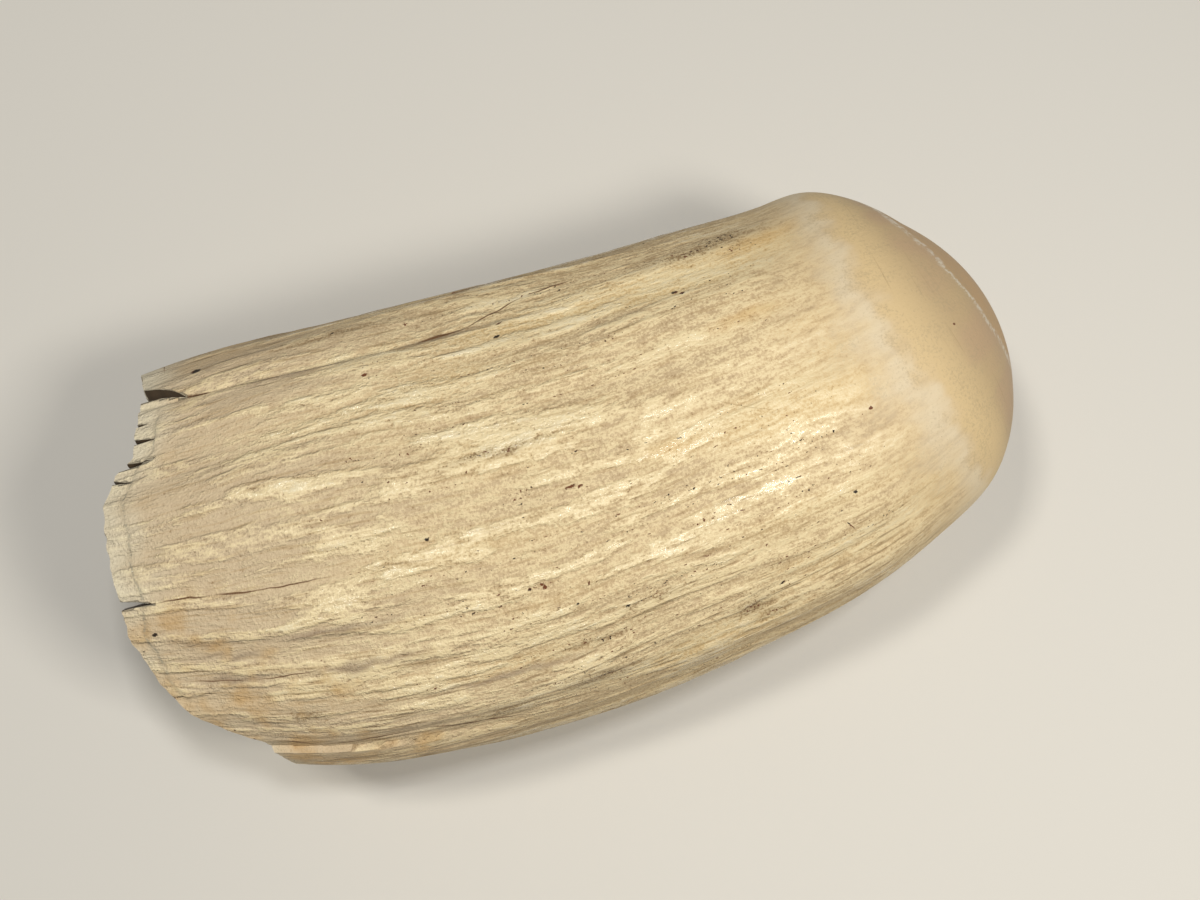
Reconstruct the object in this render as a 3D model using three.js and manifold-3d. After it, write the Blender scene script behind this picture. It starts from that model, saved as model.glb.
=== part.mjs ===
// Sperm whale tooth, lying on its side: a blunt, slightly curved ivory tooth with a worn, rounded tip
// and a broken root that opens into the pulp cavity. It grew as one piece, so it is one solid.
// Millimetres, +Z up, +X from the root to the tip. The origin is under the middle of the tooth, on the table.
import * as THREE from "three";
import { mergeVertices } from "three/addons/utils/BufferGeometryUtils.js";
import Module from "manifold-3d";

// Outline seen from above, at half height: the back edge from root to tip, the tip, and the front edge.
// The stations pair up from both ends, so each pair carries one ring round the tooth.
const BELLY_HEIGHT = 25.3; // height of the outline above the table along the body
const TIP_HEIGHT = 21; // the tip hangs a little lower
const BACK_EDGE = [
  [-73, 33],
  [-46, 35],
  [-19, 34.7],
  [8, 33.8],
  [32, 33.9],
  [48, 33.8],
  [57, 28.7],
  [64.6, 22.8],
];
const TIP = [70.2, 14.5];
const FRONT_EDGE = [
  [-69, -26],
  [-42, -34.6],
  [-13, -36.9],
  [15, -35],
  [42, -30.3],
  [62.2, -20.5],
  [70.2, -9.8],
  [73, 3],
];
const TIP_STATIONS = 3; // the last stations before the tip, over which the outline comes down

// Section across the tooth: half height over half width, at the root and at the tip.
const ROOT_ASPECT = 0.71;
const TIP_ASPECT = 0.8;
const TIP_LEAN = 0.13; // how far the rings lean towards the tip at their top, in mm per mm of height

// Length that the rings nearest the root stand for, per unit of the way from root to tip.
const ROOT_STRETCH = 216;

// Broken root edge: how much of the wall is missing, in mm from the longest splinter, by angle in degrees.
// Angles go round from the back edge (0) over the top (90), the front edge (180) and the belly (270).
const BREAK_LINE = [
  [0, 10.5],
  [18, 10.8],
  [38, 11.4],
  [52, 9.6],
  [63, 8.2],
  [67, 5],
  [76, 2.6],
  [92, 1.2],
  [106, 0.9],
  [117, 0.2],
  [131, 1.9],
  [142, 4.4],
  [150, 8],
  [156, 12.6],
  [168, 14],
  [184, 16],
  [205, 12.5],
  [228, 14],
  [252, 11],
  [280, 12.5],
  [305, 10],
  [332, 12],
];

// Splits that run in from the broken edge, right through the wall: angles at the mouth and at the end.
const SPLITS = [
  { mouthAngle: 35, endAngle: 44, mouth: 2.8, length: 10.5 },
  { mouthAngle: 58, endAngle: 59, mouth: 0.8, length: 3.4 },
  { mouthAngle: 65, endAngle: 65.5, mouth: 0.9, length: 4.5 },
  { mouthAngle: 105.5, endAngle: 106, mouth: 1.3, length: 5 },
  { mouthAngle: 236, endAngle: 238, mouth: 1.8, length: 8 },
  { mouthAngle: 316, endAngle: 314, mouth: 1.4, length: 6 },
];

// Pulp cavity: a funnel from the broken edge to its point inside the tooth.
const CAVITY_SHARE = 0.905; // cavity width over tooth width at the edge
const CAVITY_END = 0.37; // where the point lies, on the way from root to tip
const CAVITY_TAPER = 0.82; // under 1, the funnel is fuller than a cone

// Relief of the outside.
// Furrows along the tooth: how many go round, how deep they are in mm and how far they wander.
const FURROWS = [
  { count: 7, depth: 0.32, drift: 2.2, phase: 0.6 },
  { count: 12, depth: 0.28, drift: -3.1, phase: 2.4 },
  { count: 19, depth: 0.22, drift: 4.3, phase: 4.1 },
];
const FURROW_END = 0.56; // the furrows run out where the cement ends
const FURROW_FADE = 0.1;
// Grooves that stand out from the rest, each with its angle at the root and at its far end.
const GROOVES = [
  { rootAngle: 44, endAngle: 50, end: 0.34, depth: 0.9, width: 3.2 },
  { rootAngle: 137, endAngle: 133, end: 0.27, depth: 0.6, width: 3.6 },
  { rootAngle: 250, endAngle: 243, end: 0.42, depth: 0.9, width: 4 },
  { rootAngle: 318, endAngle: 325, end: 0.3, depth: 0.7, width: 3.6 },
];
// A long crack low on the front, whose lower lip stands out.
const LIP = { rootAngle: 157, endAngle: 172, end: 0.26, height: 1.1, spread: 20 };
// A ledge along the broken edge over the top, where the outer layer has flaked off.
const LEDGE = { from: 48, to: 138, width: 3.4, slope: 0.7, depth: 0.5 };
// The swelling where the cement ends and the worn tip begins, further back over the top than at the sides.
const COLLAR = { top: 0.552, side: 0.612, height: 0.7, width: 0.045 };

// How fine the solid is.
const SEGMENTS = 108;
const OUTER_RINGS = 36;
const CAVITY_RINGS = 7;
const IVORY = 0xdcc79a;

const wasm = await Module();
wasm.setup();

const radians = THREE.MathUtils.degToRad;
const mix = THREE.MathUtils.lerp;
const fade = THREE.MathUtils.smoothstep;

// Shortest way round between two angles in degrees, from -180 to 180.
function turn(from, to) {
  return THREE.MathUtils.euclideanModulo(to - from + 180, 360) - 180;
}

function outlineCurve() {
  const raise = ([x, y], station) => {
    const drop = Math.max(0, station - (BACK_EDGE.length - TIP_STATIONS)) / TIP_STATIONS;
    return new THREE.Vector3(x, y, mix(BELLY_HEIGHT, TIP_HEIGHT, drop));
  };
  const points = [...BACK_EDGE.map(raise), raise(TIP, BACK_EDGE.length), ...FRONT_EDGE.map(raise).reverse()];
  return new THREE.CatmullRomCurve3(points, false, "catmullrom", 0.5);
}
const outline = outlineCurve();

// Where the wall breaks off at an angle, on the way from root to tip.
function breakAt(angle) {
  const after = BREAK_LINE.findIndex(([a]) => a > angle);
  const [a1, d1] = after < 0 ? [BREAK_LINE[0][0] + 360, BREAK_LINE[0][1]] : BREAK_LINE[after];
  const [a0, d0] = BREAK_LINE.at(after < 0 ? -1 : after - 1);
  return mix(d0, d1, (angle - a0) / (a1 - a0)) / ROOT_STRETCH;
}

// The collar's place at an angle: furthest back over the top and under the belly.
function collarAt(angle) {
  return mix(COLLAR.top, COLLAR.side, Math.cos(radians(angle)) ** 2);
}

// Where a ring of the outside lies at an angle: the last two before the edge bound the ledge.
function outerAlong(ring, angle) {
  const edge = breakAt(angle);
  if (ring === OUTER_RINGS) {
    return edge;
  }
  if (ring === OUTER_RINGS - 1) {
    return edge + LEDGE.width / ROOT_STRETCH;
  }
  return mix(1, edge + (LEDGE.width + LEDGE.slope) / ROOT_STRETCH, ring / (OUTER_RINGS - 2));
}

// How far the outside stands out from the plain ring, in mm.
function relief(along, angle) {
  const around = radians(angle);
  const cement = 1 - fade(along, FURROW_END - FURROW_FADE, FURROW_END);
  let out = 0;
  for (const { count, depth, drift, phase } of FURROWS) {
    out += cement * depth * Math.cos(count * around + drift * along * Math.PI + phase);
  }
  for (const { rootAngle, endAngle, end, depth, width } of GROOVES) {
    const off = turn(mix(rootAngle, endAngle, along / end), angle) / width;
    out -= depth * Math.exp(-off * off) * (1 - fade(along, end / 2, end));
  }
  const below = turn(mix(LIP.rootAngle, LIP.endAngle, along / LIP.end), angle);
  if (below > 0 && below < LIP.spread) {
    out += LIP.height * (1 - below / LIP.spread) * (1 - fade(along, LIP.end / 3, LIP.end));
  }
  const onLedge = angle > LEDGE.from && angle < LEDGE.to;
  if (onLedge && (along - breakAt(angle)) * ROOT_STRETCH < LEDGE.width + LEDGE.slope / 2) {
    out -= LEDGE.depth;
  }
  const past = (along - collarAt(angle)) / COLLAR.width;
  return out + COLLAR.height * Math.exp(-past * past);
}

// Point of the ring at a place along the tooth: share 1 is the outside, and 0 the middle of the ring.
function ringPoint(along, angle, share, standOut) {
  const back = outline.getPoint(along / 2);
  const front = outline.getPoint(1 - along / 2);
  const centre = back.clone().lerp(front, 0.5);
  const half = back.clone().sub(front).multiplyScalar(0.5);
  const width = half.length();
  const toTip = new THREE.Vector3(half.y, -half.x, 0).normalize();
  const around = radians(angle);
  const grow = width > 0 ? share * (1 + (standOut / width) * Math.min(1, width / 10)) : 0;
  const rise = Math.sin(around) * width * mix(ROOT_ASPECT, TIP_ASPECT, along) * grow;
  return centre
    .addScaledVector(half, Math.cos(around) * grow)
    .addScaledVector(toTip, rise * TIP_LEAN * fade(along, 0.25, 0.65))
    .add(new THREE.Vector3(0, 0, rise));
}

function outerPoint(along, angle) {
  return ringPoint(along, angle, 1, relief(along, angle));
}

function cavityPoint(inward, angle) {
  const along = mix(breakAt(angle), CAVITY_END, inward);
  return ringPoint(along, angle, CAVITY_SHARE * (1 - inward) ** CAVITY_TAPER, 0);
}

// A sphere whose rings run from the tip along the outside to the broken edge and back into the cavity.
function toothGeometry() {
  const rings = OUTER_RINGS + 1 + CAVITY_RINGS;
  const sphere = new THREE.SphereGeometry(1, SEGMENTS, rings);
  const { position, uv } = sphere.attributes;
  for (let i = 0; i < position.count; i++) {
    const ring = Math.round((1 - uv.getY(i)) * rings);
    const angle = THREE.MathUtils.euclideanModulo(360 * uv.getX(i), 360);
    const point =
      ring <= OUTER_RINGS
        ? outerPoint(outerAlong(ring, angle), angle)
        : cavityPoint((ring - OUTER_RINGS - 1) / CAVITY_RINGS, angle);
    point.z = Math.max(point.z, 0); // worn flat where it lies on the table
    position.setXYZ(i, point.x, point.y, point.z);
  }
  sphere.deleteAttribute("normal");
  sphere.deleteAttribute("uv");
  return mergeVertices(sphere, 1e-3);
}

// A thin wedge that opens at the broken edge, points towards the tip and reaches through the wall.
function splitGeometry({ mouthAngle, endAngle, mouth, length }) {
  const wallReach = 6;
  const overrun = 4; // starts this far outside the edge
  const start = breakAt(mouthAngle);
  const from = ringPoint(start, mouthAngle, 1, 0);
  const to = ringPoint(start + length / ROOT_STRETCH, endAngle, 1, 0);
  const centre = ringPoint(start, mouthAngle, 0, 0);
  const inward = to.clone().sub(from).normalize();
  const outward = from.clone().sub(centre).normalize();
  const across = outward.clone().cross(inward).normalize();
  outward.crossVectors(inward, across);
  const flare = (mouth / 2) * (1 + overrun / length);
  const wedge = new THREE.Shape([
    new THREE.Vector2(length, 0),
    new THREE.Vector2(-overrun, flare),
    new THREE.Vector2(-overrun, -flare),
  ]);
  return new THREE.ExtrudeGeometry(wedge, { depth: 2 * wallReach, bevelEnabled: false })
    .translate(0, 0, -wallReach)
    .applyMatrix4(new THREE.Matrix4().makeBasis(inward, across, outward).setPosition(from));
}

// Closed geometry as a solid that can be cut, and back.
function solidOf(geometry) {
  const bare = new THREE.BufferGeometry().setAttribute("position", geometry.getAttribute("position"));
  bare.setIndex(geometry.index);
  const merged = mergeVertices(bare, 1e-4);
  const mesh = new wasm.Mesh({
    numProp: 3,
    vertProperties: merged.attributes.position.array,
    triVerts: new Uint32Array(merged.index.array),
  });
  return new wasm.Manifold(mesh);
}

function geometryOf(solid) {
  const { vertProperties, triVerts } = solid.getMesh();
  const geometry = new THREE.BufferGeometry();
  geometry.setAttribute("position", new THREE.BufferAttribute(vertProperties, 3));
  geometry.setIndex(new THREE.BufferAttribute(triVerts, 1));
  return geometry;
}

// The tooth, set with the middle of its footprint on the origin.
function toothMesh() {
  let solid = solidOf(toothGeometry());
  for (const split of SPLITS) {
    solid = solid.subtract(solidOf(splitGeometry(split)));
  }
  const geometry = geometryOf(solid);
  geometry.computeBoundingBox();
  const middle = geometry.boundingBox.getCenter(new THREE.Vector3());
  geometry.translate(-middle.x, -middle.y, -geometry.boundingBox.min.z);
  geometry.computeVertexNormals();
  const ivory = new THREE.MeshStandardMaterial({ color: IVORY, roughness: 0.5, metalness: 0 });
  const mesh = new THREE.Mesh(geometry, ivory);
  mesh.name = "tooth";
  return mesh;
}

const part = new THREE.Group();
part.add(toothMesh());

export default part;
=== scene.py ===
"""Sperm whale tooth lying on its side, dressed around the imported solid.

The tooth grew as one piece, so it is one closed mesh: a sheet that is rolled round the tooth, from the
worn tip along the furrowed body to the broken root and back into the pulp cavity. The mesh carries its own
chart of the surface, so that streaks, pits and cracks follow the grain. Sizes are in millimetres and become
metres on the way into the mesh.
"""

import logging
import math
from dataclasses import dataclass
from enum import Enum
from functools import cached_property
from typing import Any, Iterable

import bmesh
import bpy
from mathutils import Matrix, Quaternion, Vector, noise


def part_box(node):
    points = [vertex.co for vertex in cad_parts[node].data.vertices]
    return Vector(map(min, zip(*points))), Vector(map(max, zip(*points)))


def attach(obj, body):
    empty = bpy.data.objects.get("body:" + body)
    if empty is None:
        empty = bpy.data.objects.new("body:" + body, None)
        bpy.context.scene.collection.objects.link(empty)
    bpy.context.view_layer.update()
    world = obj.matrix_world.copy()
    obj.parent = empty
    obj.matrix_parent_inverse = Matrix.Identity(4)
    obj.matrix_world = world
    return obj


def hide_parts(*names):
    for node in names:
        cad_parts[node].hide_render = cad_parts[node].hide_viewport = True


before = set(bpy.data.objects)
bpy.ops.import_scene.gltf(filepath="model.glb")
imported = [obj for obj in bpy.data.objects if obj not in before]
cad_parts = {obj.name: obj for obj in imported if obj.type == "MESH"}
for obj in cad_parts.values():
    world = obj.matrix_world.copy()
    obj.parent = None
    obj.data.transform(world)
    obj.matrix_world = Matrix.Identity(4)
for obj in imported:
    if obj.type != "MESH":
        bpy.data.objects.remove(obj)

LOG = logging.getLogger("tooth")
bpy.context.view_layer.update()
NODE = "tooth"
BODY = "root"
MM = 0.001  # metres in a millimetre
TOP = 90.0  # angle of the uppermost line, in degrees round from the back edge
CHART_RADIUS = 30.0  # mm: the tooth's surface is charted as if it were a tube of this radius
SOFT = {"interpolation_type": "SMOOTHSTEP"}  # a range with soft ends
TIMES = {"operation": "MULTIPLY"}  # one value times another
PLUS_TIMES = {"operation": "MULTIPLY_ADD"}  # one value times another, plus a third
BODY_STRETCH = 216.0  # mm that the way from root to tip stands for, on the body
TIP_STRETCH = 110.0  # mm that it stands for on the worn tip
INSIDE = -60.0  # mm: well short of the collar and the apex, for places inside the tooth
IVORY_IOR = 1.54

Socket = bpy.types.NodeSocket
Shares = dict[str, Socket]  # how much of each kind of surface there is at a place
Line = tuple[tuple[float, float], ...]  # places and the values there, in order


class Layer(Enum):
    """Values that the mesh carries at each point, for its finishes to read."""

    PLACE = "place"  # mm along the tooth, then the two places on the chart's circle
    GRAIN = "grain"  # the same, shifted round the tooth as the grain wanders
    ZONES = "zones"  # mm in from the broken edge, mm past the collar, mm past the worn apex's border
    CREST = "crest"  # 0 in a furrow of the streaked cement, 1 on a flake, more on a polished ridge, which is also painted paler where the glints fall
    SPOTS = "spots"  # shares of a stain, a groove grey partly with dirt and partly as painted shade, and a golden patch


class Face(Enum):
    """Finish of a face, as the mesh's material index."""

    OUTSIDE = 0
    CAVITY = 1
    SPLIT = 2


def mix(low: float, high: float, share: float) -> float:
    """Value at a share of the way from low to high."""
    return low + (high - low) * share


def fade(value: float, start: float, end: float) -> float:
    """Smooth step from 0 at start to 1 at end."""
    share = min(1.0, max(0.0, (value - start) / (end - start)))
    return share * share * (3 - 2 * share)


def turn(start: float, end: float) -> float:
    """Shortest way round from one angle to another, in degrees."""
    return (end - start + 180) % 360 - 180


def follow(line: Line, place: float) -> float:
    """Reads a line, straight between its points.

    Args:
        line: Places and the values there.
        place: Where to read it.

    Returns:
        The value at that place.
    """
    after = next((i for i, (start, _) in enumerate(line) if start > place), len(line) - 1)
    (start, low), (end, high) = line[max(after, 1) - 1], line[max(after, 1)]
    return mix(low, high, min(1.0, max(0.0, (place - start) / (end - start))))


def on_circle(angle: float, radius: float = 1.0) -> tuple[float, float]:
    """Place on a circle at an angle in degrees, so that a pattern closes on itself."""
    return radius * math.cos(math.radians(angle)), radius * math.sin(math.radians(angle))


def linear(colour: str) -> tuple[float, float, float, float]:
    """Turns an sRGB hex colour into linear RGBA.

    Args:
        colour: Six hex digits, with a leading #.

    Returns:
        Red, green and blue in linear light, and an alpha of 1.
    """
    levels = [int(colour[i : i + 2], 16) / 255 for i in (1, 3, 5)]
    return (*[v / 12.92 if v <= 0.04045 else ((v + 0.055) / 1.055) ** 2.4 for v in levels], 1.0)


@dataclass(frozen=True)
class Outline:
    """The tooth's outline from above at half height, which carries a ring for each pair of its stations."""

    back_edge: Line = (
        (-73, 33), (-46, 35), (-19, 34.7), (8, 33.8), (32, 33.9), (48, 33.8), (57, 28.7), (64.6, 22.8),
    )
    tip: tuple[float, float] = (70.2, 14.5)
    front_edge: Line = (
        (-69, -26), (-42, -34.6), (-13, -36.9), (15, -35), (42, -30.3), (62.2, -20.5), (70.2, -9.8),
        (73, 3),
    )
    belly_height: float = 25.3  # mm over the floor, of the body's middle
    tip_height: float = 21.0  # mm over the floor
    tip_stations: int = 3  # over which the outline comes down to the tip
    root_aspect: float = 0.71  # height of a ring for its width
    tip_aspect: float = 0.8
    tip_lean: float = 0.13  # mm towards the tip for each mm of height
    lean_reach: tuple[float, float] = (0.25, 0.65)  # where the rings start to lean and lean fully
    slim: float = 10.0  # mm half across, below which the relief fades out

    @cached_property
    def stations(self) -> list[Vector]:
        """Lines up the stations from the root along the back to the tip, and along the front to the root.

        Returns:
            The stations in mm, with a mirrored one at each end.
        """
        count = len(self.back_edge)

        def raised(place: tuple, station: int) -> Vector:
            """Puts a station at its height: the last ones come down to the tip."""
            drop = max(0, station - (count - self.tip_stations)) / self.tip_stations
            return Vector((*place, mix(self.belly_height, self.tip_height, drop)))

        back = [raised(place, i) for i, place in enumerate(self.back_edge)]
        front = [raised(place, i) for i, place in enumerate(self.front_edge)]
        line = [*back, raised(self.tip, count), *reversed(front)]
        return [2 * line[0] - line[1], *line, 2 * line[-1] - line[-2]]

    def edge_point(self, share: float) -> Vector:
        """Finds a point of the outline, on a curve through all stations.

        Args:
            share: 0 at the root's back edge, 1 at its front edge.

        Returns:
            The point, in mm.
        """
        spans = len(self.stations) - 3
        place = min(max(share, 0.0), 1.0) * spans
        first = min(int(place), spans - 1)
        t = place - first
        a, b, c, d = self.stations[first : first + 4]
        leave, arrive = (c - a) / 2, (d - b) / 2
        cubic = 2 * b - 2 * c + leave + arrive
        square = 3 * c - 3 * b - 2 * leave - arrive
        return cubic * t**3 + square * t**2 + leave * t + b

    def ring_point(self, along: float, angle: float, share: float = 1.0, stand_out: float = 0.0) -> Vector:
        """Finds a point of the ring at a place along the tooth.

        Args:
            along: 0 at the longest splinter of the root, 1 at the tip.
            angle: Degrees round from the back edge, over the top.
            share: 1 on the outside and 0 in the middle of the ring.
            stand_out: How far the point stands out from the plain ring, in mm.

        Returns:
            The point, in mm.
        """
        back, front = self.edge_point(along / 2), self.edge_point(1 - along / 2)
        half = (back - front) / 2
        width = half.length
        if width < 1e-6:
            return back
        across, up = on_circle(angle)
        grow = share * (1 + stand_out / width * min(1.0, width / self.slim))
        rise = up * width * mix(self.root_aspect, self.tip_aspect, along) * grow
        to_tip = Vector((half.y, -half.x, 0)).normalized()
        lean = to_tip * (rise * self.tip_lean * fade(along, *self.lean_reach))
        return (back + front) / 2 + half * (across * grow) + lean + Vector((0, 0, rise))


@dataclass(frozen=True)
class Split:
    """A crooked wedge that opens at the broken edge and runs through the wall towards the tip."""

    mouth_angle: float  # degrees round from the back edge
    end_angle: float
    mouth: float  # mm
    length: float  # mm


@dataclass(frozen=True)
class BrokenEdge:
    """The root's broken edge: how much wall is missing by angle, its splits and its ledge."""

    line: Line = (
        (0, 10.5), (18, 10.8), (38, 11.4), (52, 9.6), (63, 8.2), (67, 5), (76, 2.6), (92, 1.2),
        (106, 0.9), (117, 0.2), (131, 1.9), (142, 4.4), (150, 8), (156, 12.6), (168, 14), (184, 16),
        (205, 12.5), (228, 14), (252, 11), (280, 12.5), (305, 10), (332, 12), (360, 10.5),
    )
    chips: float = 0.35  # mm that small chips take off and leave on
    splits: tuple[Split, ...] = (
        Split(39.6, 45.2, 2.9, 7.0), Split(52, 52.5, 0.5, 1.8), Split(58, 59, 0.8, 3.4),
        Split(65, 65.5, 0.9, 4.5), Split(69, 70.5, 0.5, 3.0), Split(105.5, 106, 1.3, 5),
        Split(236, 238, 1.8, 8), Split(316, 314, 1.4, 6),
    )
    ledge_from: float = 46.0  # degrees
    ledge_to: float = 140.0  # degrees
    ledge_fade: float = 6.0  # degrees
    ledge_width: Line = ((46, 3.2), (100, 3.2), (130, 1.8))  # mm, by angle
    ledge_depth: float = 0.4  # mm
    ledge_slope: float = 0.3  # mm to each side of its border
    ledge_wander: float = 0.5  # mm

    @cached_property
    def found(self) -> dict[float, float]:
        """Places already worked out, by angle."""
        return {}

    def at(self, angle: float) -> float:
        """Finds where the wall breaks off, once for each angle.

        Args:
            angle: Degrees round from the back edge.

        Returns:
            Its place on the way from root to tip.
        """
        if angle not in self.found:
            self.found[angle] = self.missing(angle) / BODY_STRETCH
        return self.found[angle]

    def missing(self, angle: float) -> float:
        """Adds small chips to the broken edge's line.

        Args:
            angle: Degrees round from the back edge.

        Returns:
            How much of the wall is missing, in mm.
        """
        spot = Vector((*on_circle(angle, 11), 0))
        chips = self.chips * (noise.noise(spot) + 0.5 * noise.noise(spot * 2.7))
        return max(0.0, follow(self.line, angle) + chips)

    def ledge(self, inward: float, angle: float) -> float:
        """Sinks the ledge where the outer layer has come off.

        Args:
            inward: Distance in from the broken edge, in mm.
            angle: Degrees round from the back edge.

        Returns:
            How far the ledge lies below the outside, in mm.
        """
        wander = self.ledge_wander * noise.noise(Vector((*on_circle(angle, 9), 4)))
        width = follow(self.ledge_width, angle)
        started = fade(angle, self.ledge_from, self.ledge_from + self.ledge_fade)
        ended = fade(angle, self.ledge_to - self.ledge_fade, self.ledge_to)
        outer = 1 - fade(inward + wander, width - self.ledge_slope, width + self.ledge_slope)
        return self.ledge_depth * started * (1 - ended) * outer


@dataclass(frozen=True)
class Furrow:
    """A set of broad furrows: how many go round, their depth in mm, and how far they wander."""

    count: int
    depth: float
    drift: float  # half waves that they shift by, from root to tip
    phase: float  # radians


@dataclass(frozen=True)
class Groove:
    """A single sharp groove from the broken edge, with its angles at the root and at its far end."""

    root_angle: float
    end_angle: float
    end: float  # place on the way from root to tip
    depth: float  # mm
    width: float  # degrees


@dataclass(frozen=True)
class Relief:
    """What stands out of the plain rings and sinks into them.

    Heights, widths and lengths are in mm. An end, a reach or a middle is a place on the way from root to
    tip.
    """

    furrows: tuple[Furrow, ...] = (
        Furrow(7, 0.32, 2.2, 0.6), Furrow(12, 0.28, -3.1, 2.4), Furrow(19, 0.22, 4.3, 4.1),
    )
    furrow_end: float = 0.56
    furrow_fade: float = 0.1
    grooves: tuple[Groove, ...] = (
        Groove(44, 51, 0.36, 1.1, 2.2), Groove(137, 133, 0.27, 0.6, 2.2),
        Groove(250, 243, 0.42, 1.0, 2.6), Groove(318, 325, 0.3, 0.8, 2.4),
    )
    lip: Line = ((0, 157), (0.26, 167))
    lip_end: float = 0.26
    lip_height: float = 1.1
    lip_spread: float = 20.0  # degrees
    splinter_angle: float = 12.0  # degrees
    splinter_spread: tuple[float, float] = (16.0, 34.0)  # degrees, between which the lift fades
    splinter_reach: tuple[float, float] = (0.05, 0.19)
    splinter_lift: float = 1.1
    collar_top: float = 0.556  # place of the collar over the top
    collar_side: float = 0.612  # its place at the sides
    collar_height: float = 0.7
    collar_width: float = 0.045  # on the way from root to tip
    apex_middle: float = 0.757
    apex_swing: float = 0.085  # how far its border swings to each side
    apex_angle: float = 50.0  # degrees, where the border comes nearest the root
    broad_wander: float = 2.4  # degrees
    broad_length: float = 30.0
    fine_wander: float = 0.6  # degrees
    fine_length: float = 8.0
    streak_length: float = 18.0
    streak_width: float = 2.2
    streak_height: float = 0.15
    thread_start: float = 77.0  # degrees, so that threads don't follow the streaks
    thread_length: float = 32.0
    thread_width: float = 0.95
    thread_height: float = 0.065
    smooth_from: float = -26.0  # mm short of the collar where the cement starts to thin out
    smooth_to: float = -2.0
    root_smooth: tuple[float, float] = (4.0, 26.0)  # mm in from the edge, between which flakes grow thicker

    def collar(self, angle: float) -> float:
        """Where the cement ends at an angle: further back over the top than at the sides."""
        return mix(self.collar_top, self.collar_side, on_circle(angle)[0] ** 2)

    def past_collar(self, along: float, angle: float) -> float:
        """Distance past the collar, in mm."""
        return (along - self.collar(angle)) * TIP_STRETCH

    def past_apex(self, along: float, angle: float) -> float:
        """Distance past the border of the worn apex, in mm."""
        border = self.apex_middle - self.apex_swing * on_circle(angle - self.apex_angle)[0]
        return (along - border) * TIP_STRETCH

    def wander(self, reach: float, angle: float) -> float:
        """Bends the grain a little, so that no streak runs straight.

        Args:
            reach: Distance along the tooth, in mm.
            angle: Degrees round from the back edge.

        Returns:
            How far round the grain wanders, in degrees.
        """
        broad = noise.noise(Vector((reach / self.broad_length, *on_circle(angle, 1.6))))
        fine = noise.noise(Vector((reach / self.fine_length, *on_circle(angle, 4.5))))
        return self.broad_wander * broad + self.fine_wander * fine

    def crest(self, along: float, angle: float, length: float, width: float) -> float:
        """Draws streaks along the tooth.

        Args:
            along: Place on the way from root to tip.
            angle: Degrees round from the back edge.
            length: Length of a streak, in mm.
            width: Width of a streak, in mm.

        Returns:
            About -1 in a furrow and 1 on a crest.
        """
        reach = along * BODY_STRETCH
        across, up = on_circle(angle + self.wander(reach, angle), CHART_RADIUS / width)
        spot = Vector((reach / length, across, up))
        return noise.noise(spot) + 0.5 * noise.noise(spot * 2.1) + 0.3 * noise.noise(spot * 4.3)

    def cement(self, along: float, angle: float, inward: float) -> tuple[float, float]:
        """Streaked cement over the body.

        Args:
            along: Place on the way from root to tip.
            angle: Degrees round from the back edge.
            inward: Distance in from the broken edge, in mm.

        Returns:
            The height in mm, and the share of a flake at this place.
        """
        streak = self.crest(along, angle, self.streak_length, self.streak_width)
        thread = self.crest(along, angle + self.thread_start, self.thread_length, self.thread_width)
        sides = fade(abs(on_circle(angle)[0]), 0.5, 0.85)
        body = 1 - fade(self.past_collar(along, angle), self.smooth_from, self.smooth_to)
        flake = fade(streak, -0.12, 0.2)
        start = mix(0.35, 1.0, fade(inward, *self.root_smooth))
        height = start * self.streak_height * (flake - 0.5)
        height += mix(0.35, 1.1, sides) * self.thread_height * thread
        return height * body, mix(0.5, flake, body)

    def height(self, along: float, angle: float) -> float:
        """Adds up the furrows, the grooves, the lip, the bent splinter and the collar.

        Args:
            along: Place on the way from root to tip.
            angle: Degrees round from the back edge.

        Returns:
            The height over the plain ring, in mm.
        """
        body = 1 - fade(along, self.furrow_end - self.furrow_fade, self.furrow_end)
        out = 0.0
        for furrow in self.furrows:
            wave = math.radians(furrow.count * angle) + furrow.drift * along * math.pi + furrow.phase
            out += body * furrow.depth * math.cos(wave)
        for groove in self.grooves:
            off = turn(mix(groove.root_angle, groove.end_angle, along / groove.end), angle) / groove.width
            out -= groove.depth * math.exp(-abs(off)) * (1 - fade(along, groove.end / 2, groove.end))
        below = turn(follow(self.lip, along), angle)
        if 0 < below < self.lip_spread:
            lip = 1 - fade(along, self.lip_end / 3, self.lip_end)
            out += self.lip_height * (1 - below / self.lip_spread) * lip
        near = 1 - fade(abs(turn(self.splinter_angle, angle)), *self.splinter_spread)
        out += self.splinter_lift * near * (1 - fade(along, *self.splinter_reach))
        past = (along - self.collar(angle)) / self.collar_width
        return out + self.collar_height * math.exp(-past * past)


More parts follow.
